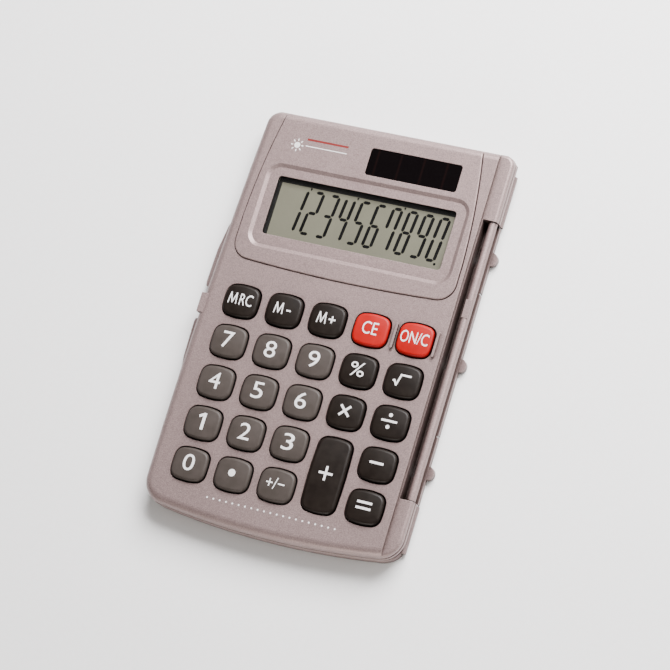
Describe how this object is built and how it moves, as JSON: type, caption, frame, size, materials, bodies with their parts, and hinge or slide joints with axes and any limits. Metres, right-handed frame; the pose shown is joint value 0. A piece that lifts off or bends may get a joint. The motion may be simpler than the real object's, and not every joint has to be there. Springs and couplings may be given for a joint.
{
  "type": "pocket calculator",
  "caption": "Pocket calculator with LCD, solar window and press keys; its hard cover swings right round on a two-axis hinge and folds flat behind the body.",
  "frame": {"origin": "middle of the footprint, on the surface the folded cover rests on", "axes": "+X towards the hinge side, +Y from the bottom row of keys towards the display, +Z out of the key face"},
  "size_m": [0.0742, 0.11, 0.0087],
  "materials": {
    "silver_paint": "champagne silver metallic paint over moulded ABS",
    "clear_window": "clear acrylic",
    "smoked_window": "smoked acrylic, nearly black",
    "dark_cell": "amorphous silicon on glass",
    "lcd": "grey-green reflective LCD",
    "reflector": "reflector film",
    "black_plastic": "black moulded plastic or epoxy",
    "pale_rubber": "silicone rubber",
    "board": "phenolic circuit board with solder mask",
    "components": "ceramic chip parts",
    "spring_metal": "plated spring strip",
    "steel": "plain steel",
    "key_grey": "warm mid-grey moulded plastic, white legend",
    "key_dark": "near-black moulded plastic, white legend",
    "key_red": "red moulded plastic, white legend"
  },
  "bodies": {
    "body": {"upper_shell": "silver_paint", "lower_shell": "silver_paint", "display_bezel": "silver_paint", "display_lens": "clear_window", "solar_window": "smoked_window", "solar_cell": "dark_cell", "solar_contacts": "spring_metal", "lcd_holder": "black_plastic", "lcd_glass": "lcd", "lcd_reflector": "reflector", "lcd_connector": "pale_rubber", "circuit_board": "board", "controller_chip": "black_plastic", "board_components": "components", "rubber_keymat": "pale_rubber", "button_cell": "steel", "battery_contact_positive": "spring_metal", "battery_contact_negative": "spring_metal", "battery_door": "silver_paint", "case_screws": "steel", "door_screw": "steel"},
    "link": {"hinge_link": "silver_paint", "link_axle": "steel", "cover_axle": "steel"},
    "cover": {"folding_cover": "silver_paint"},
    "key_mrc": {"key_mrc": "key_dark"},
    "key_m_minus": {"key_m_minus": "key_dark"},
    "key_m_plus": {"key_m_plus": "key_dark"},
    "key_ce": {"key_ce": "key_red"},
    "key_on_c": {"key_on_c": "key_red"},
    "key_7": {"key_7": "key_grey"},
    "key_8": {"key_8": "key_grey"},
    "key_9": {"key_9": "key_grey"},
    "key_percent": {"key_percent": "key_dark"},
    "key_root": {"key_root": "key_dark"},
    "key_4": {"key_4": "key_grey"},
    "key_5": {"key_5": "key_grey"},
    "key_6": {"key_6": "key_grey"},
    "key_multiply": {"key_multiply": "key_dark"},
    "key_divide": {"key_divide": "key_dark"},
    "key_1": {"key_1": "key_grey"},
    "key_2": {"key_2": "key_grey"},
    "key_3": {"key_3": "key_grey"},
    "key_minus": {"key_minus": "key_dark"},
    "key_0": {"key_0": "key_grey"},
    "key_point": {"key_point": "key_grey"},
    "key_sign": {"key_sign": "key_grey"},
    "key_equals": {"key_equals": "key_dark"},
    "key_plus": {"key_plus": "key_dark"}
  },
  "joints": [
    {"name": "hinge_spine", "type": "hinge", "parent": "body", "child": "link", "pos_m": [0.034, 0, 0.00485], "axis": [0, -1, 0], "range_deg": [0, 180]},
    {"name": "cover_hinge", "type": "hinge", "parent": "link", "child": "cover", "pos_m": [0.0344, 0, 0.00105], "axis": [0, -1, 0], "range_deg": [0, 180]},
    {"name": "press_mrc", "type": "slide", "parent": "body", "child": "key_mrc", "axis": [0, 0, -1], "range_m": [0, 0.0008], "stiffness_N_per_m": 1200, "deforming": ["rubber_keymat"]},
    {"name": "press_m_minus", "type": "slide", "parent": "body", "child": "key_m_minus", "axis": [0, 0, -1], "range_m": [0, 0.0008], "stiffness_N_per_m": 1200, "deforming": ["rubber_keymat"]},
    {"name": "press_m_plus", "type": "slide", "parent": "body", "child": "key_m_plus", "axis": [0, 0, -1], "range_m": [0, 0.0008], "stiffness_N_per_m": 1200, "deforming": ["rubber_keymat"]},
    {"name": "press_ce", "type": "slide", "parent": "body", "child": "key_ce", "axis": [0, 0, -1], "range_m": [0, 0.0008], "stiffness_N_per_m": 1200, "deforming": ["rubber_keymat"]},
    {"name": "press_on_c", "type": "slide", "parent": "body", "child": "key_on_c", "axis": [0, 0, -1], "range_m": [0, 0.0008], "stiffness_N_per_m": 1200, "deforming": ["rubber_keymat"]},
    {"name": "press_7", "type": "slide", "parent": "body", "child": "key_7", "axis": [0, 0, -1], "range_m": [0, 0.0008], "stiffness_N_per_m": 1200, "deforming": ["rubber_keymat"]},
    {"name": "press_8", "type": "slide", "parent": "body", "child": "key_8", "axis": [0, 0, -1], "range_m": [0, 0.0008], "stiffness_N_per_m": 1200, "deforming": ["rubber_keymat"]},
    {"name": "press_9", "type": "slide", "parent": "body", "child": "key_9", "axis": [0, 0, -1], "range_m": [0, 0.0008], "stiffness_N_per_m": 1200, "deforming": ["rubber_keymat"]},
    {"name": "press_percent", "type": "slide", "parent": "body", "child": "key_percent", "axis": [0, 0, -1], "range_m": [0, 0.0008], "stiffness_N_per_m": 1200, "deforming": ["rubber_keymat"]},
    {"name": "press_root", "type": "slide", "parent": "body", "child": "key_root", "axis": [0, 0, -1], "range_m": [0, 0.0008], "stiffness_N_per_m": 1200, "deforming": ["rubber_keymat"]},
    {"name": "press_4", "type": "slide", "parent": "body", "child": "key_4", "axis": [0, 0, -1], "range_m": [0, 0.0008], "stiffness_N_per_m": 1200, "deforming": ["rubber_keymat"]},
    {"name": "press_5", "type": "slide", "parent": "body", "child": "key_5", "axis": [0, 0, -1], "range_m": [0, 0.0008], "stiffness_N_per_m": 1200, "deforming": ["rubber_keymat"]},
    {"name": "press_6", "type": "slide", "parent": "body", "child": "key_6", "axis": [0, 0, -1], "range_m": [0, 0.0008], "stiffness_N_per_m": 1200, "deforming": ["rubber_keymat"]},
    {"name": "press_multiply", "type": "slide", "parent": "body", "child": "key_multiply", "axis": [0, 0, -1], "range_m": [0, 0.0008], "stiffness_N_per_m": 1200, "deforming": ["rubber_keymat"]},
    {"name": "press_divide", "type": "slide", "parent": "body", "child": "key_divide", "axis": [0, 0, -1], "range_m": [0, 0.0008], "stiffness_N_per_m": 1200, "deforming": ["rubber_keymat"]},
    {"name": "press_1", "type": "slide", "parent": "body", "child": "key_1", "axis": [0, 0, -1], "range_m": [0, 0.0008], "stiffness_N_per_m": 1200, "deforming": ["rubber_keymat"]},
    {"name": "press_2", "type": "slide", "parent": "body", "child": "key_2", "axis": [0, 0, -1], "range_m": [0, 0.0008], "stiffness_N_per_m": 1200, "deforming": ["rubber_keymat"]},
    {"name": "press_3", "type": "slide", "parent": "body", "child": "key_3", "axis": [0, 0, -1], "range_m": [0, 0.0008], "stiffness_N_per_m": 1200, "deforming": ["rubber_keymat"]},
    {"name": "press_minus", "type": "slide", "parent": "body", "child": "key_minus", "axis": [0, 0, -1], "range_m": [0, 0.0008], "stiffness_N_per_m": 1200, "deforming": ["rubber_keymat"]},
    {"name": "press_0", "type": "slide", "parent": "body", "child": "key_0", "axis": [0, 0, -1], "range_m": [0, 0.0008], "stiffness_N_per_m": 1200, "deforming": ["rubber_keymat"]},
    {"name": "press_point", "type": "slide", "parent": "body", "child": "key_point", "axis": [0, 0, -1], "range_m": [0, 0.0008], "stiffness_N_per_m": 1200, "deforming": ["rubber_keymat"]},
    {"name": "press_sign", "type": "slide", "parent": "body", "child": "key_sign", "axis": [0, 0, -1], "range_m": [0, 0.0008], "stiffness_N_per_m": 1200, "deforming": ["rubber_keymat"]},
    {"name": "press_equals", "type": "slide", "parent": "body", "child": "key_equals", "axis": [0, 0, -1], "range_m": [0, 0.0008], "stiffness_N_per_m": 1200, "deforming": ["rubber_keymat"]},
    {"name": "press_plus", "type": "slide", "parent": "body", "child": "key_plus", "axis": [0, 0, -1], "range_m": [0, 0.0008], "stiffness_N_per_m": 1200, "deforming": ["rubber_keymat"]}
  ]
}
